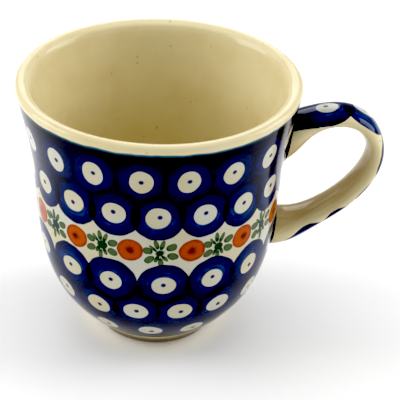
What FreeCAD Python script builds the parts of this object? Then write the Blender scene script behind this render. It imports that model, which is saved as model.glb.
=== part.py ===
"""Stoneware mug: a jiggered cup with a flared lip and a pulled strap handle, luted on with slip.

Frame: millimetres, +Z up along the axis of the cup, origin at the centre of the plane that the
foot ring stands on, handle towards +X.
"""
import FreeCAD
import Part
import math
import os

from FreeCAD import Vector

# ---------------------------------------------------------------- driving dimensions
MUG_HEIGHT = 92.6          # foot plane to the top of the lip
RIM_RADIUS = 47.5          # widest circle of the flared lip
WALL = 4.6                 # thickness of the thrown wall
LIP_ROUND = 1.6            # radius of the lip's outer edge, from the widest circle to the crest
LIP_WIDTH = 5.2            # from the widest circle over the crest to the mouth
MOUTH_DEPTH = 2.0          # the mouth's edge lies this far below the crest

FOOT_RADIUS = 19.3         # outside of the foot ring
FOOT_RING_WIDTH = 4.0      # flat that the mug stands on
FOOT_RING_HEIGHT = 1.3     # unglazed step under the body
RECESS_DEPTH = 2.2         # hollow inside the foot ring
FLOOR_THICKNESS = 5.0      # clay left over the recess at the middle
FLOOR_TURN = (33.0, 22.0)  # radius and height near which the inside wall becomes the floor
FLOOR_KNEE = (12.0, 0.8)   # radius and rise of a point on the floor's shallow dish

# Outside of the wall, from the foot to below the lip: share of the mug's height, share of the
# rim radius.  It swells fast above the foot, rises almost straight and flares again at the lip.
WALL_SHAPE = (
    (0.089, 0.562),
    (0.175, 0.695),
    (0.282, 0.789),
    (0.421, 0.846),
    (0.572, 0.873),
    (0.724, 0.898),
    (0.869, 0.951),
)

STRAP_WIDTH = 14.0         # middle of the handle, across its plane
STRAP_THICKNESS = 6.1      # middle of the handle, in its plane
UPPER_ROOT_WIDTH = 19.0    # where the strap spreads on to the cup
UPPER_ROOT_THICKNESS = 12.4
LOWER_ROOT_WIDTH = 17.0
LOWER_ROOT_THICKNESS = 12.5
FLARE_LENGTH = 11.0        # distance from the wall over which a root spreads

# Middle line of the strap in the XZ plane: distance from the axis, height.  The anchors lie
# inside the cup, so that both ends of the strap are cut by the wall.
UPPER_ANCHOR = (33.0, 63.2)
UPPER_ROOT = (41.0, 69.0)
HANDLE_CROWN = ((49.4, 75.0), (59.8, 78.0), (68.2, 75.8))
HANDLE_BEND = (73.9, 66.1)
HANDLE_TAIL = ((68.0, 50.9), (54.3, 40.1), (43.9, 35.9))
LOWER_ROOT = (38.5, 35.6)
LOWER_ANCHOR = (30.5, 36.6)

SLIP_THICKNESS = 0.8       # bed of slip between the cup and a root of the handle
SLIP_MARGIN = 1.1          # how far the slip stands out around the root
STRAP_STATIONS = 23        # sections along the strap


# ---------------------------------------------------------------- cup
def wall_points():
    """Outside of the wall as (radius, height), from the top of the foot ring to the rim."""
    points = [(FOOT_RADIUS, FOOT_RING_HEIGHT)]
    points += [(r * RIM_RADIUS, z * MUG_HEIGHT) for z, r in WALL_SHAPE]
    points.append((RIM_RADIUS, MUG_HEIGHT - LIP_ROUND))
    return points


def spline_through(points):
    """Smooth curve in the XZ plane through (radius, height) points."""
    curve = Part.BSplineCurve()
    curve.interpolate([Vector(r, 0, z) for r, z in points])
    return curve


def moved_points(offset):
    """Points of the outside of the wall, moved outwards along its normal by offset."""
    outside = spline_through(wall_points())
    moved = []
    for r, z in wall_points():
        along = outside.tangent(outside.parameter(Vector(r, 0, z)))[0]
        moved.append((r + offset * along.z, z - offset * along.x))
    return moved


def revolve(edges):
    """Solid of revolution about Z of a closed outline in the XZ plane."""
    face = Part.Face(Part.Wire(edges))
    solid = face.revolve(Vector(0, 0, 0), Vector(0, 0, 1), 360)
    return solid


def line(start, end):
    return Part.LineSegment(start, end).toShape()


def arc_from_crest(crest, end):
    """Arc in the XZ plane that leaves the crest level and comes down to the end point."""
    across = end.x - crest.x
    down = crest.z - end.z
    radius = (across ** 2 + down ** 2) / (2 * down)
    half_turn = math.atan2(abs(across), radius - down) / 2
    out = math.copysign(radius, across) * math.sin(half_turn)
    middle = crest + Vector(out, 0, radius * (math.cos(half_turn) - 1))
    return Part.Arc(crest, middle, end)


def filled_cup(offset=0.0):
    """The cup's outer shape with no hollow, moved outwards by offset: a tool for cutting."""
    outside = spline_through(moved_points(offset))
    foot = outside.StartPoint
    rim = outside.EndPoint
    top = Vector(0, 0, rim.z)
    bottom = Vector(0, 0, foot.z)
    return revolve([line(bottom, foot), outside.toShape(), line(rim, top), line(top, bottom)])


def cup_body():
    """Wall, floor, foot ring and lip: one piece of clay."""
    outside = spline_through(wall_points())
    mouth_edge = (RIM_RADIUS - LIP_WIDTH, MUG_HEIGHT - MOUTH_DEPTH)
    inside_wall = spline_through(moved_points(-WALL)[:-1] + [mouth_edge])
    floor_height = RECESS_DEPTH + FLOOR_THICKNESS

    # The inside follows the wall down to the point where the floor's curve takes over.
    mouth = inside_wall.EndPoint
    turn_at = inside_wall.parameter(Vector(FLOOR_TURN[0], 0, FLOOR_TURN[1]))
    turn = inside_wall.value(turn_at)
    slope = inside_wall.tangent(turn_at)[0]
    inside = inside_wall.copy()
    inside.segment(turn_at, inside_wall.LastParameter)
    floor_centre = Vector(0, 0, floor_height)
    floor = Part.BSplineCurve()
    floor.interpolate(
        Points=[floor_centre, Vector(FLOOR_KNEE[0], 0, floor_height + FLOOR_KNEE[1]), turn],
        InitialTangent=Vector(1, 0, 0),
        FinalTangent=slope,
    )

    # The lip turns over quickly at its outer edge and slopes gently down to the mouth.
    crest = Vector(RIM_RADIUS - LIP_ROUND, 0, MUG_HEIGHT)
    lip_edge = arc_from_crest(crest, outside.EndPoint)
    lip_slope = arc_from_crest(crest, mouth)

    foot_edge = Vector(FOOT_RADIUS, 0, 0)
    foot_inner = Vector(FOOT_RADIUS - FOOT_RING_WIDTH, 0, 0)
    recess_edge = Vector(FOOT_RADIUS - FOOT_RING_WIDTH - RECESS_DEPTH, 0, RECESS_DEPTH)
    recess_centre = Vector(0, 0, RECESS_DEPTH)
    return revolve([
        outside.toShape(),
        lip_edge.toShape(),
        lip_slope.toShape(),
        inside.toShape(),
        floor.toShape(),
        line(floor_centre, recess_centre),
        line(recess_centre, recess_edge),
        line(recess_edge, foot_inner),
        line(foot_inner, foot_edge),
        line(foot_edge, outside.StartPoint),
    ])


# ---------------------------------------------------------------- handle
def strap_line():
    """Middle line of the strap, from the upper anchor to the lower anchor."""
    upper = (UPPER_ANCHOR, UPPER_ROOT) + HANDLE_CROWN
    lower = HANDLE_TAIL + (LOWER_ROOT, LOWER_ANCHOR)
    return spline_through(upper + (HANDLE_BEND,) + lower)


def flare(distance):
    """1 at a root and inside the wall, falling to 0 along the strap."""
    return math.exp(-(max(distance, 0.0) / FLARE_LENGTH) ** 2)


def strap_size(from_upper, from_lower):
    """Width and thickness of the strap at a distance from each root."""
    upper = flare(from_upper)
    lower = flare(from_lower)
    width = (STRAP_WIDTH + (UPPER_ROOT_WIDTH - STRAP_WIDTH) * upper
             + (LOWER_ROOT_WIDTH - STRAP_WIDTH) * lower)
    thickness = (STRAP_THICKNESS + (UPPER_ROOT_THICKNESS - STRAP_THICKNESS) * upper
                 + (LOWER_ROOT_THICKNESS - STRAP_THICKNESS) * lower)
    return width, thickness


def strap(margin=0.0):
    """The strap as a loft of ellipses square to its middle line, thicker all round by margin."""
    middle = strap_line()
    first, last = middle.FirstParameter, middle.LastParameter
    upper_root = middle.length(first, middle.parameter(Vector(UPPER_ROOT[0], 0, UPPER_ROOT[1])))
    lower_root = middle.length(first, middle.parameter(Vector(LOWER_ROOT[0], 0, LOWER_ROOT[1])))
    across = Vector(0, 1, 0)
    sections = []
    for index in range(STRAP_STATIONS):
        distance = middle.length(first, last) * index / (STRAP_STATIONS - 1)
        at = middle.parameterAtDistance(distance, first)
        along = middle.tangent(at)[0]
        width, thickness = strap_size(distance - upper_root, lower_root - distance)
        ellipse = Part.Ellipse(Vector(0, 0, 0), width / 2 + margin, thickness / 2 + margin)
        # the ellipse's long axis lies across the strap, its normal along the middle line
        turn = FreeCAD.Rotation(across, along.cross(across), along, "ZXY")
        ring = ellipse.toShape()
        ring.Placement = FreeCAD.Placement(middle.value(at), turn)
        sections.append(Part.Wire([ring]))
    return Part.makeLoft(sections, True, False)


def upper_half(shape):
    """The part of a shape above the middle of the handle."""
    split = (UPPER_ROOT[1] + LOWER_ROOT[1]) / 2
    size = 2 * MUG_HEIGHT
    box = Part.makeBox(size, size, size, Vector(0, -size / 2, split))
    return shape.common(box)


def only_solid(shape):
    """The single solid that a cut leaves."""
    (solid,) = shape.Solids
    return solid


def build():
    cup = filled_cup()
    slip_face = filled_cup(SLIP_THICKNESS)
    beds = strap(SLIP_MARGIN).common(slip_face).cut(cup)
    upper = upper_half(beds)
    return {
        "cup_body": cup_body(),
        "handle": only_solid(strap().cut(slip_face)),
        "upper_slip_joint": only_solid(upper),
        "lower_slip_joint": only_solid(beds.cut(upper)),
    }


os.makedirs("parts", exist_ok=True)
for name, shape in build().items():
    shape.exportStep(f"parts/{name}.step")
    box = shape.optimalBoundingBox(False)
    print(f"{name}: valid {shape.isValid()}, solids {len(shape.Solids)}, volume {shape.Volume:.0f} mm3, "
          f"x {box.XMin:.1f}..{box.XMax:.1f}, y {box.YMin:.1f}..{box.YMax:.1f}, "
          f"z {box.ZMin:.1f}..{box.ZMax:.1f}")
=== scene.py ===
"""Looks of the stoneware mug: stamped cobalt, orange and green decoration under a clear gloss glaze."""
import math
from collections import namedtuple

import bmesh
import bpy
import numpy as np
from mathutils import Matrix, Vector
from mathutils.bvhtree import BVHTree


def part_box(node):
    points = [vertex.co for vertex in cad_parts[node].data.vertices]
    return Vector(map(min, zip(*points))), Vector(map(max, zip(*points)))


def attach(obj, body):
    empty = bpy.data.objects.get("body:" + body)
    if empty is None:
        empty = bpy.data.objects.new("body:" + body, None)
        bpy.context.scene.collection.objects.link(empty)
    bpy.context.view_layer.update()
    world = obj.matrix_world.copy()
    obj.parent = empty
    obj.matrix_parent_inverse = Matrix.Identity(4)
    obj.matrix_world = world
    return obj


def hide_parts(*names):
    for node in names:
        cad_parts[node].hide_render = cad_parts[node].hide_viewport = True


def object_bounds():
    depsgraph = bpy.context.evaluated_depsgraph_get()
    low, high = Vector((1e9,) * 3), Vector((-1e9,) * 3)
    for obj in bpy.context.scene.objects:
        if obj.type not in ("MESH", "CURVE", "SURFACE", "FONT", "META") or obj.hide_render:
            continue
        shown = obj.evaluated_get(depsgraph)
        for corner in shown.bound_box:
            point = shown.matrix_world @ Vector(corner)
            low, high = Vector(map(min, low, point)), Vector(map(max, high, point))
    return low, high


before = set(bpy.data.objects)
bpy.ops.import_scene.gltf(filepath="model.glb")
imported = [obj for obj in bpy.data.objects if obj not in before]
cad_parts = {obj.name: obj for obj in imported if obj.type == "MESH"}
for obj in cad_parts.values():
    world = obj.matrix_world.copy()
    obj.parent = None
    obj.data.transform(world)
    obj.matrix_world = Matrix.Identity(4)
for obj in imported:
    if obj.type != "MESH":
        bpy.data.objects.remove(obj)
cad_low, cad_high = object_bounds()

MM = 0.001
PAINT_UNIT = 100.0                        # millimetres to one unit of a piece's paint map

# ---------------------------------------------------------------- camera
CAMERA_ELEVATION = math.radians(30.74)
CAMERA_TURN = math.radians(5.99)         # from square to the handle's plane
CAMERA_ROLL = math.radians(1.87)
CAMERA_DISTANCE = 0.6361
CAMERA_LENS = 166.9
AIM_DROP = 0.75 * MM                     # aim point under the middle of the object's box


def make_camera():
    """Long lens aimed at the middle of the object's box, a little rolled."""
    data = bpy.data.cameras.new("camera")
    data.lens = CAMERA_LENS
    data.sensor_width = 36.0
    data.clip_end = 20.0
    camera = bpy.data.objects.new("camera", data)
    bpy.context.scene.collection.objects.link(camera)
    aim = (cad_low + cad_high) / 2 - Vector((0, 0, AIM_DROP))
    flat = math.cos(CAMERA_ELEVATION)
    forward = Vector((math.sin(CAMERA_TURN) * flat, math.cos(CAMERA_TURN) * flat,
                      -math.sin(CAMERA_ELEVATION)))
    level = forward.cross(Vector((0, 0, 1))).normalized()
    upright = level.cross(forward)
    right = level * math.cos(CAMERA_ROLL) + upright * math.sin(CAMERA_ROLL)
    up = right.cross(forward)
    place = Matrix((right, up, -forward)).transposed().to_4x4()
    place.translation = aim - forward * CAMERA_DISTANCE
    camera.matrix_world = place
    bpy.context.scene.camera = camera


# ---------------------------------------------------------------- measuring the CAD cup
class Cup:
    """Radii and heights of the CAD cup, measured on its mesh on the side away from the handle."""

    def __init__(self):
        low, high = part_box("cup_body")
        self.height = high.z
        self.rim_radius = -low.x
        self.tree = BVHTree.FromObject(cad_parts["cup_body"],
                                       bpy.context.evaluated_depsgraph_get())

    def outer(self, z):
        hit = self.tree.ray_cast(Vector((-1, 0, z)), Vector((1, 0, 0)))[0]
        return -hit.x

    def inner(self, z):
        hit = self.tree.ray_cast(Vector((0, 0, z)), Vector((-1, 0, 0)))[0]
        return -hit.x

    def top(self, radius):
        return self.tree.ray_cast(Vector((-radius, 0, 1)), Vector((0, 0, -1)))[0].z

    def under(self, radius):
        return self.tree.ray_cast(Vector((-radius, 0, -1)), Vector((0, 0, 1)))[0].z


cup = Cup()

LIP_ROUND = 1.6 * MM                      # the lip turns over above this depth
MOUTH_DEPTH = 2.2 * MM                    # just under the mouth's edge
LIP_ROLL = (3, 5)                         # rings before and after the mouth that are rounded over
LIP_ROUNDS = 16                           # how many times they are averaged
CREST_TURN = (0.06 * math.pi, 0.94 * math.pi)  # from the outer edge over the lip to the mouth
FOOT_STEP = 1.3 * MM                      # height of the bare foot ring
FOOT_EDGE = 0.35 * MM                     # softened edge of the foot ring
FLOOR_LEVEL = 22.0 * MM                   # the inside is measured from above below this height
PROBE = 0.1 * MM                          # step of a search along the surface
CLEAR = 0.3 * MM                          # rings of two stretches of the outline stay this far apart
CENTRE = 0.4 * MM                         # radius of the ring round the middle of a floor
FLOOR_START = 0.8 * MM                    # the floor's rings start this far in from the inner wall
OUTSIDE_RINGS = 110
INSIDE_RINGS = 90
LIP_RINGS = 14
FLOOR_RINGS = 26
RECESS_RINGS = 9
FLAT_RINGS = 6
CUP_SEGMENTS = 256


def spread(start, end, count):
    """Evenly spaced numbers, both ends included."""
    return [start + (end - start) * i / (count - 1) for i in range(count)]


def foot_profile():
    """Underside: recess, flat foot ring with softened edges, up to the start of the wall."""
    ring_out = cup.outer(FOOT_STEP / 2)
    recess = cup.under(1 * MM)
    ring_in = ring_out
    while cup.under(ring_in - PROBE) < PROBE / 2:
        ring_in -= PROBE
    recess_edge = ring_in - recess
    points = [(r, recess) for r in spread(CENTRE, recess_edge - 1.0 * MM, RECESS_RINGS)]
    points += [(recess_edge - 0.3 * MM, recess - 0.15 * MM),
               (recess_edge + 0.4 * MM, recess - 0.6 * MM),
               (ring_in - 0.6 * MM, 0.6 * MM),
               (ring_in - 0.1 * MM, 0.15 * MM)]
    flat = spread(ring_in + 0.4 * MM, ring_out - 1.6 * FOOT_EDGE, FLAT_RINGS)
    points += [(r, 0.0) for r in flat]
    points += [(ring_out - 0.5 * FOOT_EDGE, 0.3 * FOOT_EDGE),
               (ring_out, 1.3 * FOOT_EDGE),
               (ring_out, FOOT_STEP - FOOT_EDGE)]
    return points


def soften(points, first, last, rounds):
    """Rounds an outline between two of its points by averaging each with its neighbours."""
    points = list(points)
    for _ in range(rounds):
        before = list(points)
        for i in range(first, last):
            (r0, z0), (r1, z1), (r2, z2) = before[i - 1:i + 2]
            points[i] = ((r0 + 2 * r1 + r2) / 4, (z0 + 2 * z1 + z2) / 4)
    return points


def cup_profile():
    """Outline of the cup as (radius, height, distance down the outside from the rim) in metres."""
    foot = foot_profile()
    rim = cup.height - LIP_ROUND
    mouth_level = cup.height - MOUTH_DEPTH
    wall = [(cup.outer(z), z) for z in spread(FOOT_STEP + PROBE, rim - CLEAR, OUTSIDE_RINGS)]
    mouth = cup.inner(mouth_level)
    middle = (cup.rim_radius + mouth) / 2
    half = (cup.rim_radius - mouth) / 2
    lip = []
    for turn in spread(*CREST_TURN, LIP_RINGS):
        radius = middle + half * math.cos(turn)
        lip.append((radius, cup.top(radius)))
    inside = [(cup.inner(z), z) for z in spread(mouth_level - CLEAR, FLOOR_LEVEL, INSIDE_RINGS)]
    edge = cup.inner(FLOOR_LEVEL)
    floor = [(r, cup.top(r)) for r in spread(edge - FLOOR_START, CENTRE, FLOOR_RINGS)]
    mouth_at = len(foot) + len(wall) + len(lip)
    points = soften(foot + wall + lip + inside + floor,
                    mouth_at - LIP_ROLL[0], mouth_at + LIP_ROLL[1], LIP_ROUNDS)
    lengths = [0.0]
    for (r0, z0), (r1, z1) in zip(points, points[1:]):
        lengths.append(lengths[-1] + math.hypot(r1 - r0, z1 - z0))
    rim_length = lengths[len(foot) + len(wall) - 1]
    return [(r, z, rim_length - d) for (r, z), d in zip(points, lengths)]


# A jiggered cup is never quite round.  Each wave: height, how often it comes round, and phase.
OVAL = (0.14 * MM, 2, 0.6)
RIPPLE = (0.06 * MM, 5, 2.0)
LIP_WAVE = (0.10 * MM, 3, 1.1)


def wave(shape, turn):
    height, count, phase = shape
    return height * math.sin(count * turn + phase)


def hand_made(radius, z, turn):
    """Moves a point of the cup by a fraction of a millimetre, more towards the lip."""
    lift = max(0.0, z / cup.height)
    swell = wave(OVAL, turn) + wave(RIPPLE, turn)
    return radius + swell * lift, z + wave(LIP_WAVE, turn) * lift ** 3


def new_piece(name, mesh):
    piece = bpy.data.objects.new(name, mesh)
    bpy.context.scene.collection.objects.link(piece)
    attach(piece, "root")
    return piece


def make_cup():
    """The whole cup as one closed mesh, with its paint map: turn and distance from the rim."""
    profile = cup_profile()
    mesh = bmesh.new()
    paint = mesh.loops.layers.uv.new("paint")
    rings = []
    for radius, z, _ in profile:
        ring = []
        for k in range(CUP_SEGMENTS):
            turn = 2 * math.pi * k / CUP_SEGMENTS
            r, height = hand_made(radius, z, turn)
            ring.append(mesh.verts.new((r * math.cos(turn), r * math.sin(turn), height)))
        rings.append(ring)
    for row, (lower, upper) in enumerate(zip(rings, rings[1:])):
        for k in range(CUP_SEGMENTS):
            after = (k + 1) % CUP_SEGMENTS
            face = mesh.faces.new((lower[k], lower[after], upper[after], upper[k]))
            face.smooth = True
            corners = ((k, row), (k + 1, row), (k + 1, row + 1), (k, row + 1))
            for loop, (column, level) in zip(face.loops, corners):
                loop[paint].uv = (column / CUP_SEGMENTS, profile[level][2] / MM / PAINT_UNIT)
    for ring, level, flip in ((rings[0], 0, True), (rings[-1], len(profile) - 1, False)):
        centre = mesh.verts.new((0, 0, profile[level][1]))
        for k in range(CUP_SEGMENTS):
            a, b = ring[k], ring[(k + 1) % CUP_SEGMENTS]
            face = mesh.faces.new((b, a, centre) if flip else (a, b, centre))
            face.smooth = True
            for loop in face.loops:
                loop[paint].uv = (k / CUP_SEGMENTS, profile[level][2] / MM / PAINT_UNIT)
    data = bpy.data.meshes.new("glazed_cup")
    mesh.to_mesh(data)
    mesh.free()
    piece = new_piece("glazed_cup", data)
    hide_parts("cup_body")
    return piece


# ---------------------------------------------------------------- handle
# Middle line of the strap in the XZ plane, in millimetres, from inside the wall round to the wall.
STRAP_LINE = ((33.0, 63.2), (41.0, 69.0), (49.4, 75.0), (59.8, 78.0), (68.2, 75.8), (73.9, 66.1),
              (68.0, 50.9), (54.3, 40.1), (43.9, 35.9), (38.5, 35.6), (30.5, 36.6))
UPPER_ROOT = 1                            # places of the two roots in the list above
LOWER_ROOT = 9
STRAP_SIZE = (14.0, 6.1)                  # width and thickness in millimetres
UPPER_SIZE = (19.0, 12.4)
LOWER_SIZE = (17.0, 12.5)
FLARE_LENGTH = 11.0
STRAP_RINGS = 190
STRAP_SEGMENTS = 72
SINK = 0.7                                # how deep an end of the strap goes into the wall
Section = namedtuple("Section", "centre normal half_width half_thickness from_root")


def natural_spline(points):
    """Natural cubic spline through points: returns its knots and a function of the chord length."""
    points = np.array(points, float)
    knots = np.concatenate([[0], np.cumsum(np.linalg.norm(np.diff(points, axis=0), axis=1))])
    count = len(points)
    gap = np.diff(knots)
    system = np.eye(count)
    slopes = np.zeros_like(points)
    for i in range(1, count - 1):
        system[i, i - 1:i + 2] = (gap[i - 1], 2 * (gap[i - 1] + gap[i]), gap[i])
        slopes[i] = 6 * ((points[i + 1] - points[i]) / gap[i]
                         - (points[i] - points[i - 1]) / gap[i - 1])
    bend = np.linalg.solve(system, slopes)

    def at(s):
        i = min(max(int(np.searchsorted(knots, s)) - 1, 0), count - 2)
        h = gap[i]
        a = (knots[i + 1] - s) / h
        b = (s - knots[i]) / h
        return (a * points[i] + b * points[i + 1]
                + ((a ** 3 - a) * bend[i] + (b ** 3 - b) * bend[i + 1]) * h * h / 6)

    return knots, at


def strap_sections():
    """The strap's sections, in millimetres, with their distance from the upper root."""
    knots, at = natural_spline(STRAP_LINE)
    step = 0.01
    sections = []
    for s in spread(knots[0], knots[-1], STRAP_RINGS):
        centre = at(s)
        along = at(min(s + step, knots[-1])) - at(max(s - step, knots[0]))
        along = along / np.linalg.norm(along)
        normal = np.array((-along[1], along[0]))
        upper = math.exp(-(max(s - knots[UPPER_ROOT], 0) / FLARE_LENGTH) ** 2)
        lower = math.exp(-(max(knots[LOWER_ROOT] - s, 0) / FLARE_LENGTH) ** 2)
        width, thickness = [m + (u - m) * upper + (w - m) * lower
                            for m, u, w in zip(STRAP_SIZE, UPPER_SIZE, LOWER_SIZE)]
        sections.append(Section(centre, normal, width / 2, thickness / 2,
                                s - knots[UPPER_ROOT]))
    return sections


def strap_point(section, turn):
    """Point of the strap's surface; turn 0 is the middle of the outer face."""
    x, z = section.centre + section.normal * section.half_thickness * math.cos(turn)
    return Vector((x, section.half_width * math.sin(turn), z))


def keep_in_wall(point, depth):
    """Brings a point that lies deep inside the cup out to depth under the wall's surface."""
    z = min(max(point.z * MM, FOOT_STEP * 2), cup.height - 2 * LIP_ROUND)
    limit = cup.outer(z) / MM - depth
    reach = math.hypot(point.x, point.y)
    if reach < limit:
        return Vector((point.x * limit / reach, point.y * limit / reach, point.z))
    return point


def make_handle():
    """The strap as one closed mesh, with its paint map: distance across and along."""
    sections = strap_sections()
    mesh = bmesh.new()
    paint = mesh.loops.layers.uv.new("paint")
    turns = spread(-math.pi, math.pi, STRAP_SEGMENTS + 1)
    rings = []
    across = []
    for section in sections:
        points = [strap_point(section, turn) for turn in turns]
        lengths = [0.0]
        for a, b in zip(points, points[1:]):
            lengths.append(lengths[-1] + (b - a).length)
        across.append([length - lengths[-1] / 2 for length in lengths])
        rings.append([mesh.verts.new(keep_in_wall(p, SINK) * MM) for p in points[:-1]])
    for row in range(len(rings) - 1):
        for k in range(STRAP_SEGMENTS):
            after = (k + 1) % STRAP_SEGMENTS
            corners = ((row, k), (row, k + 1), (row + 1, k + 1), (row + 1, k))
            face = mesh.faces.new((rings[row][k], rings[row][after],
                                   rings[row + 1][after], rings[row + 1][k]))
            face.smooth = True
            for loop, (level, column) in zip(face.loops, corners):
                loop[paint].uv = (across[level][column] / PAINT_UNIT,
                                  sections[level].from_root / PAINT_UNIT)
    mesh.faces.new(list(reversed(rings[0])))
    mesh.faces.new(rings[-1])
    bmesh.ops.recalc_face_normals(mesh, faces=mesh.faces)
    data = bpy.data.meshes.new("strap_handle")
    mesh.to_mesh(data)
    mesh.free()
    piece = new_piece("strap_handle", data)
    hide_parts("handle")
    return piece


# ---------------------------------------------------------------- slip
UPPER_BEAD = (1.4, 1.5)                   # how far a bead reaches over the wall and up the strap
LOWER_BEAD = (0.7, 0.8)
BEAD_SEGMENTS = 96
BEAD_STEPS = 8                            # points across the hollow curve of a bead
BEAD_LUMPS = ((0.10, 3, 0.5), (0.06, 7, 0.0))  # waves in how far the bead reaches
BEAD_EDGE = 0.04                          # how deep the bead's edge goes into the wall
BEAD_RISE = 0.06                          # least rise of each further point over the wall
BEAD_SINK = 0.5                           # how deep its back goes into the strap and the wall
ROOT_SINK = 0.6                           # and how deep under the line where they meet
NEXT_TURN = 0.02                          # a step round the root, to find which way it runs


def root_line(sections, turn):
    """Where one line of the strap's surface meets the wall: the point and the line's direction."""
    points = [strap_point(section, turn) for section in sections]
    for inner, outer in zip(points, points[1:]):
        wall = cup.outer(outer.z * MM) / MM
        if math.hypot(outer.x, outer.y) >= wall:
            before = cup.outer(inner.z * MM) / MM - math.hypot(inner.x, inner.y)
            after = wall - math.hypot(outer.x, outer.y)
            share = before / (before - after) if before > after else 1.0
            return inner.lerp(outer, min(max(share, 0), 1)), (outer - inner).normalized()
    raise RuntimeError("the strap doesn't reach the wall")


def wall_normal(point):
    """Outward normal of the wall at a point on it."""
    step = 0.5
    rise = cup.outer((point.z + step) * MM) / MM - cup.outer((point.z - step) * MM) / MM
    side = Vector((point.x, point.y, 0)).normalized()
    return (side * 2 * step - Vector((0, 0, rise))).normalized()


def bead_ring(sections, turn, bead):
    """One section of a bead: its hollow curve, then three points sunk in the strap and the wall."""
    wall_reach, strap_reach = bead
    foot, along = root_line(sections, turn)
    nearby, _ = root_line(sections, turn + NEXT_TURN)
    across, _ = root_line(sections, turn + math.pi)
    normal = wall_normal(foot)
    away = (nearby - foot).cross(normal).normalized()
    if away.dot(foot - across) < 0:
        away = -away
    lump = 1 + sum(wave(shape, turn) for shape in BEAD_LUMPS)
    ring = []
    for i in range(BEAD_STEPS + 1):
        bend = i / BEAD_STEPS * math.pi / 2
        on_wall = wall_reach * lump * (1 - math.sin(bend))
        on_strap = strap_reach * lump * (1 - math.cos(bend))
        point = foot + away * on_wall + along * on_strap
        ring.append(keep_in_wall(point, BEAD_EDGE if i == 0 else -BEAD_RISE * i))
    ring.append(foot + along * strap_reach - away * BEAD_SINK)
    ring.append(foot - normal * ROOT_SINK - away * BEAD_SINK)
    under_wall = foot + away * wall_reach * 0.8 - normal * BEAD_SINK
    ring.append(keep_in_wall(under_wall, BEAD_SINK))
    return ring


def make_slip(name, node, sections, bead):
    """The bead of slip round a root: a hollow curve from the wall up on to the strap."""
    mesh = bmesh.new()
    rings = []
    for k in range(BEAD_SEGMENTS):
        ring = bead_ring(sections, 2 * math.pi * k / BEAD_SEGMENTS, bead)
        rings.append([mesh.verts.new(point * MM) for point in ring])
    size = len(rings[0])
    for k in range(BEAD_SEGMENTS):
        one, two = rings[k], rings[(k + 1) % BEAD_SEGMENTS]
        for i in range(size):
            j = (i + 1) % size
            face = mesh.faces.new((one[i], two[i], two[j], one[j]))
            face.smooth = True
    bmesh.ops.recalc_face_normals(mesh, faces=mesh.faces)
    data = bpy.data.meshes.new(name)
    mesh.to_mesh(data)
    mesh.free()
    piece = new_piece(name, data)
    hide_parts(node)
    return piece


# ---------------------------------------------------------------- writing materials as sums
class Sum:
    """Node arithmetic in one node tree: each call adds a node and returns its output."""

    def __init__(self, tree):
        self.tree = tree

    def node(self, kind, inputs=(), **settings):
        made = self.tree.nodes.new(kind)
        for key, value in settings.items():
            setattr(made, key, value)
        for key, value in dict(inputs).items():
            self.feed(made.inputs[key], value)
        return made

    def feed(self, socket, value):
        if isinstance(value, bpy.types.NodeSocket):
            self.tree.links.new(value, socket)
        else:
            socket.default_value = value

    def math(self, operation, *values, clamp=False):
        made = self.node("ShaderNodeMath", operation=operation, use_clamp=clamp)
        for socket, value in zip(made.inputs, values):
            self.feed(socket, value)
        return made.outputs[0]

    def add(self, *values):
        total = values[0]
        for value in values[1:]:
            total = self.math("ADD", total, value)
        return total

    def sub(self, a, b):
        return self.math("SUBTRACT", a, b)

    def mul(self, *values):
        product = values[0]
        for value in values[1:]:
            product = self.math("MULTIPLY", product, value)
        return product

    def swing(self, share, width):
        """A share from 0 to 1 as an offset from minus half the width to plus half."""
        return self.mul(self.sub(share, 0.5), width)

    def most(self, a, b):
        return self.math("MAXIMUM", a, b)

    def least(self, a, b):
        return self.math("MINIMUM", a, b)

    def length(self, x, y):
        return self.math("SQRT", self.add(self.mul(x, x), self.mul(y, y)))

    def ramp(self, value, start, end):
        """0 at start and before, 1 at end and after, smooth between. start may be above end."""
        made = self.node("ShaderNodeMapRange", interpolation_type="SMOOTHSTEP",
                         inputs={"Value": value, "From Min": start, "From Max": end})
        return made.outputs["Result"]

    def split(self, vector):
        return self.node("ShaderNodeSeparateXYZ", inputs={"Vector": vector}).outputs

    def join(self, x, y, z=0.0):
        return self.node("ShaderNodeCombineXYZ", inputs={"X": x, "Y": y, "Z": z}).outputs[0]

    def noise(self, vector, scale, detail=2.0, rough=0.5):
        made = self.node("ShaderNodeTexNoise",
                         inputs={"Vector": vector, "Scale": scale, "Detail": detail,
                                 "Roughness": rough})
        return made.outputs["Fac"]

    def blend(self, share, below, above):
        """Colour mix: below where share is 0, above where it is 1."""
        made = self.node("ShaderNodeMix", data_type="RGBA")
        self.feed(made.inputs["Factor"], share)
        self.feed(made.inputs["A"], below)
        self.feed(made.inputs["B"], above)
        return made.outputs["Result"]


def colour(red, green, blue):
    """Display colour, 0 to 255, as the linear colour that nodes use."""
    linear = [(c / 255 / 12.92) if c <= 10 else ((c / 255 + 0.055) / 1.055) ** 2.4
              for c in (red, green, blue)]
    return (*linear, 1.0)


CREAM = colour(225, 214, 175)
CREAM_DEEP = colour(218, 203, 159)
CREAM_SHADE = colour(186, 164, 118)
# cream of the outside and of the eyes: a cooler cream, darkened as painted shade
OUTER_CREAM_WITH_SHADE = colour(198, 198, 185)
OUTER_CREAM_DEEP_WITH_SHADE = colour(197, 188, 155)
COBALT_THIN = colour(28, 82, 138)
COBALT = colour(12, 32, 86)
COBALT_THICK = colour(6, 8, 36)
TEAL_EDGE = colour(66, 116, 138)
ORANGE = colour(176, 84, 32)
ORANGE_RIM = colour(146, 62, 26)
ORANGE_HEART = colour(98, 30, 18)
LEAF = colour(86, 104, 70)
LEAF_EDGE = colour(52, 78, 52)
LEAF_HEART = colour(28, 62, 46)
SPECK = colour(120, 84, 48)
# bare clay of the foot ring, darkened as painted shade of the foot
BARE_CLAY_WITH_SHADE = colour(150, 138, 118)


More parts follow.
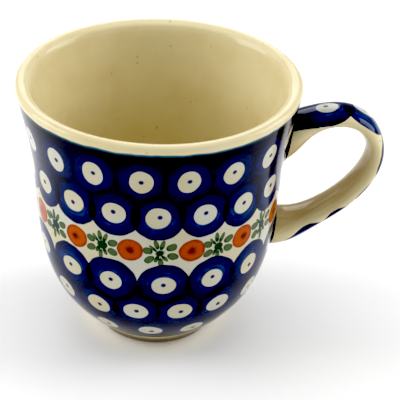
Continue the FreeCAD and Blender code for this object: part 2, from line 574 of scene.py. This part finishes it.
def new_group(name, inputs, outputs):
    """A node group with number inputs and outputs; returns its Sum and its two end nodes."""
    group = bpy.data.node_groups.new(name, "ShaderNodeTree")
    for label in inputs:
        group.interface.new_socket(label, in_out="INPUT", socket_type="NodeSocketFloat")
    for label in outputs:
        group.interface.new_socket(label, in_out="OUTPUT", socket_type="NodeSocketFloat")
    work = Sum(group)
    source = work.node("NodeGroupInput").outputs
    sink = work.node("NodeGroupOutput").inputs
    return group, work, source, sink


EYE_INPUTS = ("X", "Y", "Pick", "Seed", "Jitter", "Wobble", "Petal Radius", "Eye X", "Eye Y",
              "Eye Width", "Eye Height")
# Lengths in millimetres.
STRAY = (1.3, 0.7)                        # how far a stamp may stray along its row and across it
DAB_WOBBLE = 1.3                          # unevenness of a dab's edge
DAB_VARIETY = 0.5                         # how much dabs differ in radius
DAB_EDGE = 0.18                           # half the width of a dab's soft edge
DAB_COAT = 0.28                           # how thick the cobalt is near the eye
DAB_RIM = (4.4, 9.2, 0.40)                # radii from which and to which it thickens, and by how much
STREAKS = 0.9                             # how much the brush's streaks change the thickness
STREAK_SCALE = (1.4, 1.1)                 # how fine they are outwards and round the eye
STREAK_SHIFT = 7.3                        # sets the streaks of one dab apart from the next
NOT_ZERO = 0.1                            # keeps a division by the distance safe
EYE_VARIETY = (0.96, 0.08)                # least size of an eye, and how much eyes differ
EYE_WOBBLE = 0.22                         # unevenness of an eye's edge, as a share of its size
EYE_EDGE = (1.045, 0.985)                 # shares of its size between which its edge fades
PUPIL_STRAY = (1.0, 1.5)
PUPIL_SIDE = 0.4                          # less than half: pupils lie more to one side
PUPIL_WOBBLE = 0.2                        # share of the dab's unevenness
PUPIL_EDGE = (0.98, 0.62)                 # radii between which the pupil's edge fades


def chances(s, x, y):
    """Three random numbers from 0 to 1, the same each time for the same two numbers."""
    made = s.node("ShaderNodeTexWhiteNoise", noise_dimensions="2D",
                  inputs={"Vector": s.join(x, y)})
    return s.split(made.outputs["Color"])[:3]


def brush_streaks(s, x, y, reach, pick):
    """Streaks that follow circles round the eye, different in each dab."""
    near = s.add(reach, NOT_ZERO)
    outwards, round_eye = STREAK_SCALE
    around = s.join(s.add(s.mul(reach, outwards), s.mul(pick, STREAK_SHIFT)),
                    s.mul(s.math("DIVIDE", x, near), round_eye),
                    s.mul(s.math("DIVIDE", y, near), round_eye))
    return s.noise(around, 1.0, 2.0, 0.6)


def eye_stamp():
    """One eye: a cream disc with a pupil, left bare in a round dab of cobalt."""
    group, s, given, result = new_group(
        "eye_stamp", EYE_INPUTS, ("Petal", "Eye", "Pupil", "Ring"))
    first, second, third = chances(s, given["Pick"], given["Seed"])
    fourth, fifth, sixth = chances(s, given["Seed"], given["Pick"])
    x = s.add(given["X"], s.mul(s.swing(first, given["Jitter"]), STRAY[0]))
    y = s.add(given["Y"], s.mul(s.swing(second, given["Jitter"]), STRAY[1]))
    reach = s.length(x, y)

    # the dab is brushed round the eye, so its edge and its streaks follow circles
    wobble = s.swing(given["Wobble"], DAB_WOBBLE)
    radius = s.add(given["Petal Radius"], s.swing(third, DAB_VARIETY))
    rim = s.add(reach, wobble)
    petal = s.ramp(s.sub(rim, radius), DAB_EDGE, -DAB_EDGE)
    streak = brush_streaks(s, x, y, reach, given["Pick"])
    thin_at, thick_at, thicker = DAB_RIM
    ring = s.add(DAB_COAT, s.mul(s.ramp(reach, thin_at, thick_at), thicker),
                 s.swing(streak, STREAKS))

    # the stencilled disc is slightly oval and squarish, and the pupil is a dot beside its middle
    x = s.sub(x, given["Eye X"])
    y = s.sub(y, given["Eye Y"])
    least, variety = EYE_VARIETY
    wide = s.mul(given["Eye Width"], s.add(least, s.mul(fourth, variety)))
    tall = s.mul(given["Eye Height"], s.add(least, s.mul(fifth, variety)))
    disc = s.length(s.math("DIVIDE", x, wide), s.math("DIVIDE", y, tall))
    disc = s.add(disc, s.swing(given["Wobble"], EYE_WOBBLE))
    eye = s.ramp(disc, *EYE_EDGE)
    dot_x = s.sub(x, s.mul(s.sub(fifth, PUPIL_SIDE), PUPIL_STRAY[0]))
    dot_y = s.sub(y, s.swing(sixth, PUPIL_STRAY[1]))
    dot = s.add(s.length(dot_x, dot_y), s.mul(wobble, PUPIL_WOBBLE))
    pupil = s.ramp(dot, *PUPIL_EDGE)
    for label, value in (("Petal", petal), ("Eye", eye), ("Pupil", pupil), ("Ring", ring)):
        s.feed(result[label], value)
    return group


PETAL_INPUTS = ("X", "Y", "Angle", "Middle", "Long", "Wide")


def leaf_petal():
    """One oval petal of a leaf cluster: how far a point is inside it, 1 at its middle line."""
    group, s, given, result = new_group("leaf_petal", PETAL_INPUTS, ("Inside",))
    turn_x = s.math("COSINE", given["Angle"])
    turn_y = s.math("SINE", given["Angle"])
    along = s.sub(s.add(s.mul(given["X"], turn_x), s.mul(given["Y"], turn_y)), given["Middle"])
    aside = s.sub(s.mul(given["Y"], turn_x), s.mul(given["X"], turn_y))
    reach = s.length(s.math("DIVIDE", along, given["Long"]), s.math("DIVIDE", aside, given["Wide"]))
    s.feed(result["Inside"], s.sub(1.0, reach))
    return group


class Coat:
    """What is painted so far: how many dabs of cobalt overlap, and the bare eyes and pupils."""

    def __init__(self, work):
        self.work = work
        self.cobalt = 0.0
        self.ring = 0.0
        self.eye = 0.0
        self.pupil = 0.0

    def stamp(self, group, **inputs):
        s = self.work
        node = s.node("ShaderNodeGroup", node_tree=group, inputs=inputs)
        petal = node.outputs["Petal"]
        self.ring = s.add(self.ring, s.mul(petal, node.outputs["Ring"]))
        self.cobalt = s.add(self.cobalt, petal)
        self.eye = s.most(self.eye, node.outputs["Eye"])
        self.pupil = s.most(self.pupil, node.outputs["Pupil"])


ONE_COAT = 0.42                           # thickness at which cobalt has its own blue
FULL_COAT = 0.95                          # and at which it is nearly black
UNDER_DAB = 0.8                           # share of the ground's cobalt that a dab hides
MOTTLE = 0.12


def cobalt_colour(s, coat, ground, mottle):
    """Cobalt darkens with every layer: blue where it is one dab thick, near black where two meet."""
    bare_ground = s.mul(ground, s.sub(1.0, s.mul(s.least(coat.cobalt, 1.0), UNDER_DAB)))
    depth = s.add(coat.ring, bare_ground, s.swing(mottle, MOTTLE))
    thin = s.blend(s.ramp(depth, 0.0, ONE_COAT), COBALT_THIN, COBALT)
    return s.blend(s.ramp(depth, ONE_COAT, FULL_COAT), thin, COBALT_THICK)


GLAZE_SHINE = 0.32                        # the glaze reflects a little less than clear glass
GLAZE_RELIEF = 0.6 * MM                   # depth of the glaze's unevenness at full strength
GLAZE_ROUGH = 0.07
ROUGH_CLOUDS = 0.05                       # how much rougher the cloudy places are
UNEVENNESS = 0.22                         # strength of the relief
COBALT_RISE = 0.03                        # how much higher the painted places are


def glaze_shader(s, tree, base, rough, bump, strength):
    """Clear gloss glaze over a painted base."""
    shader = s.node("ShaderNodeBsdfPrincipled")
    s.feed(shader.inputs["Base Color"], base)
    s.feed(shader.inputs["Roughness"], rough)
    shader.inputs["Specular IOR Level"].default_value = GLAZE_SHINE
    shader.inputs["IOR"].default_value = 1.5
    relief = s.node("ShaderNodeBump", inputs={"Strength": strength, "Distance": GLAZE_RELIEF,
                                              "Height": bump})
    s.feed(shader.inputs["Normal"], relief.outputs["Normal"])
    output = s.node("ShaderNodeOutputMaterial")
    tree.links.new(shader.outputs["BSDF"], output.inputs["Surface"])


def new_material(name):
    material = bpy.data.materials.new(name)
    material.use_nodes = True
    material.node_tree.nodes.clear()
    return material, Sum(material.node_tree)


def paint_map(s):
    """The paint map's two numbers: across or turn, and along."""
    made = s.node("ShaderNodeUVMap", uv_map="paint")
    return s.split(made.outputs["UV"])[:2]


def hand_noises(s, place):
    """The slow wobble of a stamp's edge, and the fine streaks of the brush."""
    wobble = s.noise(place, 170.0, 1.0)
    streaks = s.noise(place, 620.0, 2.0, 0.6)
    return wobble, streaks


SPECK_SCALE = 430.0                       # cells to a metre
SPECK_RARE = (0.93, 0.95)                 # only cells with a random number above this have a speck
SPECK_EDGE = (0.3, 0.08)
SPECK_DEPTH = 0.28


def cream_glaze(s, place):
    """Cream clay under glaze: slow mottling and a few iron specks."""
    clouds = s.noise(place, 55.0, 3.0, 0.6)
    cream = s.blend(s.ramp(clouds, 0.3, 0.8), CREAM, CREAM_DEEP)
    cells = s.node("ShaderNodeTexVoronoi", feature="F1",
                   inputs={"Vector": place, "Scale": SPECK_SCALE, "Randomness": 1.0})
    rare = s.ramp(s.split(cells.outputs["Color"])["X"], *SPECK_RARE)
    dot = s.ramp(cells.outputs["Distance"], *SPECK_EDGE)
    return s.blend(s.mul(rare, dot, SPECK_DEPTH), cream, SPECK), clouds


# ---------------------------------------------------------------- the cup's decoration
# Depths in millimetres down the outside from the rim.
BORDER = 0.85                             # where the blue ground begins
BAND_TOP = 27.1                           # the cream band with flowers
BAND_BOTTOM = 54.1
RIM_BRUSH = (8.0, 4.0)                    # where the brushed band under the rim fades out
BASE_BRUSH = (79.0, 85.0)                 # where the brushed band above the foot fades in
BASE_EDGE = 90.2                          # where the blue ground ends above the foot
FADE = 0.5                                # half the width of a soft edge of the ground
BORDER_WOBBLE = 0.9                       # unevenness of the two ends of the ground
BORDER_EDGE = (-0.15, 0.25)               # from above to below the border
FRINGE = (1.2, 0.2, 0.85)                 # depths under the border where the teal ends and is full
PUPIL_COAT = 0.96
BARE_FOOT = 95.4                          # where the glaze was wiped off
BARE_END = 102.6                          # inside edge of the foot ring
BARE_ROUGH = 0.65
GROUND_COAT = (0.85, 0.3)                 # thickness of the ground, and of the brushed bands on it
RING_SCALE = 0.55                         # throwing rings to a millimetre
SWELL_SCALE = 70.0
RELIEF_SHARES = (0.35, 0.5, 0.8)          # rings, swell, and the bare clay's grain
# Rows of eyes: millimetres from the rim, stamps round the mug, heading of the first in degrees,
# half width and half height of the eye, radius of its dab.
EYE_ROWS = (
    (12.3, 18, -101.4, 3.75, 4.4, 8.4),
    (26.7, 18, -113.4, 3.95, 3.95, 8.8),
    (54.1, 15, -91.4, 3.95, 3.65, 9.1),
    (67.3, 16, -103.9, 4.05, 3.75, 8.3),
    (80.6, 13, -97.4, 3.85, 3.55, 8.0),
)
FLOWER_ROW = (40.5, 13, -106.2)
FLOWER_RADIUS = 4.35
FLOWER_STRAY = (0.8, 0.5)
FLOWER_WOBBLE = 1.2
FLOWER_EDGE = (0.15, -0.25)               # from outside to inside its radius
FLOWER_RIM = (2.9, 4.2)                   # radii between which the orange darkens to its rim
HEART_STRAY = 1.0
HEART_HALO = (2.3, 0.6, 0.75)             # radii between which it deepens, and how strong it is
HEART_EDGE = (1.15, 0.7)
LEAF_STRAY = (0.8, 0.6)
LEAF_WOBBLE = (1.3, 0.7)
LEAF_SWAY = 0.35                          # how far a cluster may be turned, in radians
PETAL_EDGE = (-0.06, 0.10)                # shares of a petal's size between which its edge fades
PETAL_RIM = (0.42, 0.12)                  # and between which its green deepens to the rim
LEAF_MIDDLE = (3.6, 2.1)                  # radii between which the cluster's middle darkens
LEAF_BLOT = (1.9, 1.4)                    # and between which the blot at its middle ends
# Petals of a leaf cluster: heading in degrees, middle, half length and half width.
LEAF_PETALS = (
    (22, 4.2, 1.9, 1.35),
    (158, 4.2, 1.9, 1.35),
    (207, 4.3, 1.9, 1.35),
    (333, 4.3, 1.9, 1.35),
    (66, 3.3, 2.0, 0.75),
    (98, 3.6, 2.0, 0.8),
    (264, 3.9, 2.1, 0.85),
    (130, 2.9, 1.9, 0.6),
    (236, 2.4, 1.5, 0.7),
    (298, 2.6, 1.6, 0.7),
)


def row_cell(s, turn, girth, count, start, side):
    """Number of a stamp in its row, and how far along the girth a point is from it."""
    cells = s.mul(s.sub(turn, start / 360), count)
    near = s.math("FLOOR", cells)
    pick = s.add(near, side)
    offset = s.mul(s.math("DIVIDE", s.sub(cells, pick), count), girth)
    return s.math("FLOORED_MODULO", pick, count), offset


def paint_eyes(s, coat, turn, depth, girth, wobble):
    """The rows of stamps: a point is reached by the nearest stamp on either side of it."""
    stamp = eye_stamp()
    for row, (middle, count, start, wide, tall, radius) in enumerate(EYE_ROWS):
        for side in (0, 1):
            pick, x = row_cell(s, turn, girth, count, start, side)
            coat.stamp(stamp, **{"X": x, "Y": s.sub(middle, depth), "Pick": pick,
                                 "Seed": row + 1.5, "Jitter": 1.0, "Wobble": wobble,
                                 "Petal Radius": radius, "Eye X": 0.0, "Eye Y": 0.0,
                                 "Eye Width": wide, "Eye Height": tall})


def paint_flowers(s, base, turn, depth, girth, wobble, streaks):
    """Orange rounds with a dark heart."""
    middle, count, start = FLOWER_ROW
    pick, x = row_cell(s, s.add(turn, 0.5 / count), girth, count, start, 0)
    x = s.sub(x, s.mul(girth, 0.5 / count))
    y = s.sub(middle, depth)
    chance = s.node("ShaderNodeTexWhiteNoise", noise_dimensions="1D", inputs={"W": pick})
    first, second, third = s.split(chance.outputs["Color"])[:3]
    x = s.add(x, s.swing(first, FLOWER_STRAY[0]))
    y = s.add(y, s.swing(second, FLOWER_STRAY[1]))
    reach = s.add(s.length(x, y), s.swing(wobble, FLOWER_WOBBLE))
    disc = s.ramp(reach, *[FLOWER_RADIUS + offset for offset in FLOWER_EDGE])
    rim = s.ramp(s.add(reach, s.swing(streaks, 1.6)), *FLOWER_RIM)
    body = s.blend(rim, ORANGE, ORANGE_RIM)
    heart_x = s.sub(x, s.swing(third, HEART_STRAY))
    heart = s.add(s.length(heart_x, y), s.swing(streaks, 1.8))
    pale_at, deep_at, strength = HEART_HALO
    body = s.blend(s.mul(s.ramp(heart, pale_at, deep_at), strength), body, ORANGE_HEART)
    body = s.blend(s.ramp(heart, *HEART_EDGE), body, ORANGE_HEART)
    return s.blend(disc, base, body)


def paint_leaves(s, base, turn, depth, girth, wobble, streaks):
    """Green clusters of oval petals half way between the flowers."""
    middle, count, start = FLOWER_ROW
    petal_group = leaf_petal()
    pick, x = row_cell(s, turn, girth, count, start, 0)
    x = s.sub(x, s.mul(girth, 0.5 / count))
    y = s.sub(middle, depth)
    chance = s.node("ShaderNodeTexWhiteNoise", noise_dimensions="1D",
                    inputs={"W": s.add(pick, 31.5)})
    first, second, third = s.split(chance.outputs["Color"])[:3]
    x = s.add(x, s.swing(first, LEAF_STRAY[0]), s.swing(wobble, LEAF_WOBBLE[0]))
    y = s.add(y, s.swing(second, LEAF_STRAY[1]), s.swing(streaks, LEAF_WOBBLE[1]))
    sway = s.swing(third, LEAF_SWAY)
    inside = -1.0
    for heading, centre, long, wide in LEAF_PETALS:
        node = s.node("ShaderNodeGroup", node_tree=petal_group,
                      inputs={"X": x, "Y": y, "Angle": s.add(sway, math.radians(heading)),
                              "Middle": centre, "Long": long, "Wide": wide})
        inside = s.most(inside, node.outputs["Inside"])
    reach = s.length(x, y)
    shape = s.ramp(inside, *PETAL_EDGE)
    edge = s.ramp(inside, *PETAL_RIM)
    body = s.blend(s.mul(edge, s.ramp(streaks, 0.25, 0.6)), LEAF, LEAF_EDGE)
    heart = s.ramp(s.add(reach, s.swing(streaks, 2.4)), *LEAF_MIDDLE)
    body = s.blend(heart, body, LEAF_HEART)
    blot = s.ramp(s.add(reach, s.swing(wobble, 2.0)), *LEAF_BLOT)
    return s.blend(s.most(shape, blot), base, body)


def cup_cobalt(s, coat, depth, edge, outside, streaks):
    """How much of the cup's outside is covered with cobalt, and the cobalt's colour."""
    cream_band = s.mul(s.ramp(depth, BAND_TOP - FADE, BAND_TOP + FADE),
                       s.ramp(depth, BAND_BOTTOM + FADE, BAND_BOTTOM - FADE))
    ground = s.mul(outside, s.sub(1.0, cream_band))
    # one band of cobalt was brushed round under the rim and above the foot
    brushed = s.add(s.ramp(depth, *RIM_BRUSH), s.ramp(depth, *BASE_BRUSH))
    once, more = GROUND_COAT
    thickness = s.mul(ground, s.add(once, s.mul(brushed, more)))
    blue = cobalt_colour(s, coat, thickness, streaks)
    end, full, strength = FRINGE
    fringe = s.mul(s.ramp(edge, BORDER + end, BORDER + full), strength)
    painted = s.least(s.add(coat.cobalt, s.mul(ground, 3.0)), 1.0)
    return s.mul(painted, outside), s.blend(fringe, blue, TEAL_EDGE)


def cup_relief(s, place, depth, covered, bare, streaks):
    """Throwing rings, a slow swell, raised paint and the grain of the bare clay."""
    rings = s.noise(s.join(0.0, 0.0, depth), RING_SCALE, 2.0)
    swell = s.noise(place, SWELL_SCALE, 1.0)
    ring_share, swell_share, grain_share = RELIEF_SHARES
    return s.add(s.mul(rings, ring_share), s.mul(swell, swell_share),
                 s.mul(covered, COBALT_RISE), s.mul(bare, streaks, grain_share))


def cup_material():
    """Painted outside, cream inside and at the lip and foot, bare clay on the foot ring."""
    material, s = new_material("cup_glaze")
    turn, depth = paint_map(s)
    depth = s.mul(depth, PAINT_UNIT)
    place = s.node("ShaderNodeTexCoord").outputs["Object"]
    across, back, _ = s.split(place)
    girth = s.mul(s.length(across, back), 2 * math.pi / MM)
    wobble, streaks = hand_noises(s, place)

    # the cream on the outside is greyer than in the hollow of the cup: partly a cooler cream, partly
    # darkened as painted shade
    cream, clouds = cream_glaze(s, place)
    edge = s.add(depth, s.swing(wobble, BORDER_WOBBLE))
    outside = s.mul(s.ramp(edge, *[BORDER + offset for offset in BORDER_EDGE]),
                    s.ramp(edge, BASE_EDGE + FADE, BASE_EDGE - FADE))
    outer_cream_with_shade = s.blend(s.ramp(clouds, 0.3, 0.75), OUTER_CREAM_WITH_SHADE, OUTER_CREAM_DEEP_WITH_SHADE)
    # the ground colour: cream inside, and outside the cooler cream with painted shade
    clay = s.blend(outside, cream, outer_cream_with_shade)
    leaves = paint_leaves(s, clay, turn, depth, girth, wobble, streaks)
    band = paint_flowers(s, leaves, turn, depth, girth, wobble, streaks)

    coat = Coat(s)
    paint_eyes(s, coat, turn, depth, girth, wobble)
    covered, blue = cup_cobalt(s, coat, depth, edge, outside, streaks)
    base = s.blend(covered, band, blue)
    base = s.blend(s.mul(coat.eye, outside), base, outer_cream_with_shade)
    base = s.blend(s.mul(coat.pupil, coat.eye, PUPIL_COAT), base, COBALT)
    # the bare foot ring, in clay colour darkened with painted shade
    bare = s.mul(s.ramp(edge, BARE_FOOT - 0.2, BARE_FOOT + 0.2),
                 s.ramp(depth, BARE_END + 0.3, BARE_END - 0.3))
    base = s.blend(bare, base, BARE_CLAY_WITH_SHADE)

    rough = s.add(GLAZE_ROUGH, s.mul(clouds, ROUGH_CLOUDS), s.mul(bare, BARE_ROUGH))
    height = cup_relief(s, place, depth, covered, bare, streaks)
    glaze_shader(s, material.node_tree, base, rough, height, UNEVENNESS)
    return material


# ---------------------------------------------------------------- the handle's decoration
# Dabs on the outer face: millimetres along from the upper root, millimetres across, radius, and
# where the eye lies in the dab.
HANDLE_DABS = (
    (17.4, 0.0, 9.2, 1.0, 0.0),
    (30.1, -0.4, 6.9, -0.3, 2.9),
    (45.0, 2.4, 9.9, -1.0, -2.0),
    (56.2, 0.8, 8.2, 0.3, 0.4),
    (67.6, 0.5, 8.9, 0.0, -0.6),
    (80.2, -0.3, 9.4, 0.2, 0.3),
)
HANDLE_EYE = (3.35, 3.5)                  # half length and half width of an eye
ROOT_DAB = (15.0, 6.5, 0.16)              # reach of the first dab, its half width and its spread
INNER_FACE_SHADE = (9.5, 15.0, 0.8)                 # painted shade on the inner face: where it begins and is full, across, and how dark it is
SHADE_WOBBLE = 5.0
SHADE_STREAK_SCALE = (0.9, 0.06)                  # its streaks across and along


def handle_blue(s, coat, along, across, wobble):
    """The row of dabs, and the dab that joins the first of them to the upper root."""
    stamp = eye_stamp()
    for index, (middle, aside, radius, eye_along, eye_across) in enumerate(HANDLE_DABS):
        coat.stamp(stamp, **{"X": s.sub(along, middle), "Y": s.sub(across, aside),
                             "Pick": index + 0.5, "Seed": 9.5, "Wobble": wobble,
                             "Petal Radius": radius, "Eye X": eye_along, "Eye Y": eye_across,
                             "Jitter": 0.0, "Eye Width": HANDLE_EYE[0],
                             "Eye Height": HANDLE_EYE[1]})
    reach, half, spread_out = ROOT_DAB
    end = s.add(along, s.swing(wobble, 1.0))
    side = s.sub(s.math("ABSOLUTE", across), s.add(half, s.mul(along, spread_out)))
    return s.mul(s.ramp(end, reach, reach - 1.0), s.ramp(side, 0.3, -0.3))


def handle_material():
    """Cream inside the loop with painted shade on its inner face, and a row of cobalt dabs with eyes
    down the outer face.
    """
    material, s = new_material("handle_glaze")
    across, along = paint_map(s)
    across = s.mul(across, PAINT_UNIT)
    along = s.mul(along, PAINT_UNIT)
    place = s.node("ShaderNodeTexCoord").outputs["Object"]
    wobble, streaks = hand_noises(s, place)
    cream, clouds = cream_glaze(s, place)
    # painted shade along the inner face of the loop, in streaks that follow the strap
    streaky = s.join(s.mul(across, SHADE_STREAK_SCALE[0]), s.mul(along, SHADE_STREAK_SCALE[1]))
    shade_noise = s.noise(streaky, 1.0, 3.0, 0.6)
    start, end, shade = INNER_FACE_SHADE
    aside = s.add(s.math("ABSOLUTE", across), s.swing(shade_noise, SHADE_WOBBLE))
    cream = s.blend(s.mul(s.ramp(aside, start, end), shade), cream, CREAM_SHADE)
    coat = Coat(s)
    root = handle_blue(s, coat, along, across, wobble)
    painted = s.least(s.add(coat.cobalt, root), 1.0)
    blue = cobalt_colour(s, coat, root, streaks)
    base = s.blend(painted, cream, blue)
    # the eyes in the outer cream, which carries painted shade
    base = s.blend(coat.eye, base, OUTER_CREAM_WITH_SHADE)
    base = s.blend(s.mul(coat.pupil, coat.eye, PUPIL_COAT), base, COBALT)
    rough = s.add(GLAZE_ROUGH, s.mul(clouds, ROUGH_CLOUDS))
    swell = s.noise(place, 90.0, 1.0)
    height = s.add(s.mul(swell, 0.6), s.mul(painted, COBALT_RISE))
    glaze_shader(s, material.node_tree, base, rough, height, UNEVENNESS)
    return material


def seam_material():
    """A cobalt line brushed round the root of the handle."""
    material, s = new_material("seam_glaze")
    place = s.node("ShaderNodeTexCoord").outputs["Object"]
    streaks = s.noise(place, 300.0, 2.0, 0.6)
    clouds = s.noise(place, 90.0, 2.0)
    base = s.blend(s.ramp(streaks, 0.55, 0.8), COBALT_THICK, COBALT)
    rough = s.add(GLAZE_ROUGH + 0.01, s.mul(clouds, ROUGH_CLOUDS))
    glaze_shader(s, material.node_tree, base, rough, clouds, 0.25)
    return material


# ---------------------------------------------------------------- floor and light
FLOOR_GAP = 0.1 * MM                      # keeps the floor clear of the foot ring's flat
FLOOR_HALF = 3.0                          # half the floor's side
FLOOR_WHITE = colour(254, 254, 254)


def make_floor():
    """A pale sheet much larger than the view."""
    mesh = bmesh.new()
    bmesh.ops.create_grid(mesh, x_segments=1, y_segments=1, size=FLOOR_HALF)
    data = bpy.data.meshes.new("floor")
    mesh.to_mesh(data)
    mesh.free()
    floor = bpy.data.objects.new("floor", data)
    floor.location.z = -FLOOR_GAP
    bpy.context.scene.collection.objects.link(floor)
    material, s = new_material("floor_paper")
    shader = s.node("ShaderNodeBsdfPrincipled")
    shader.inputs["Base Color"].default_value = FLOOR_WHITE
    shader.inputs["Roughness"].default_value = 0.9
    shader.inputs["Specular IOR Level"].default_value = 0.1
    output = s.node("ShaderNodeOutputMaterial")
    material.node_tree.links.new(shader.outputs["BSDF"], output.inputs["Surface"])
    data.materials.append(material)


def area_light(name, place, target, size, power):
    data = bpy.data.lights.new(name, "AREA")
    data.shape = "RECTANGLE"
    data.size, data.size_y = size
    data.energy = power
    light = bpy.data.objects.new(name, data)
    bpy.context.scene.collection.objects.link(light)
    light.location = place
    light.rotation_euler = (Vector(target) - Vector(place)).to_track_quat("-Z", "Y").to_euler()


AIM = (0.0, 0.0, 0.05)                    # the soft boxes point at the middle of the cup
# Soft boxes: name, place, width and height in metres, and power in watts.
SOFT_BOXES = (
    ("top_box", (0.0, 0.1, 1.1), (0.9, 0.9), 2.2),
    ("left_box", (-1.1, 0.1, 0.6), (0.8, 0.8), 7.9),
    ("right_box", (1.1, 0.1, 0.6), (0.8, 0.8), 7.9),
    ("back_box", (0.0, 1.2, 0.7), (0.7, 0.6), 2.6),
    ("corner_box", (-0.8, 0.8, 0.8), (0.7, 0.7), 1.3),
)
ROOM_LIGHT = 0.52                         # strength of the pale room
BLACK_POINT = 0.063                       # display tones that show as black and as white
WHITE_POINT = 0.965


def make_light():
    """Soft boxes over, beside and behind the mug, and a pale room."""
    for name, place, size, power in SOFT_BOXES:
        area_light(name, place, AIM, size, power)
    # the room lights the mug softly, and is seen behind it as white as the floor
    world = bpy.data.worlds.new("room")
    world.use_nodes = True
    s = Sum(world.node_tree)
    room = world.node_tree.nodes["Background"]
    room.inputs["Strength"].default_value = ROOM_LIGHT
    seen = s.node("ShaderNodeBackground", inputs={"Strength": 1.0})
    room.inputs["Color"].default_value = (1, 1, 1, 1)
    seen.inputs["Color"].default_value = (1, 1, 1, 1)
    direct = s.node("ShaderNodeLightPath").outputs["Is Camera Ray"]
    both = s.node("ShaderNodeMixShader", inputs={0: direct, 1: room.outputs[0],
                                                 2: seen.outputs[0]})
    s.feed(world.node_tree.nodes["World Output"].inputs["Surface"], both.outputs[0])
    bpy.context.scene.world = world


def set_tones():
    """A contrasty display: the deepest tones fall to black and the lit floor to white."""
    view = bpy.context.scene.view_settings
    view.view_transform = "Standard"
    view.use_curve_mapping = True
    view.curve_mapping.black_level = (BLACK_POINT,) * 3
    view.curve_mapping.white_level = (WHITE_POINT,) * 3
    view.curve_mapping.update()


make_camera()
glazed_cup = make_cup()
strap_handle = make_handle()
strap = strap_sections()
upper_slip = make_slip("upper_slip_bead", "upper_slip_joint", strap, UPPER_BEAD)
lower_slip = make_slip("lower_slip_bead", "lower_slip_joint", strap[::-1], LOWER_BEAD)
glazed_cup.data.materials.append(cup_material())
strap_handle.data.materials.append(handle_material())
seam = seam_material()
upper_slip.data.materials.append(seam)
lower_slip.data.materials.append(seam)
make_floor()
make_light()
set_tones()
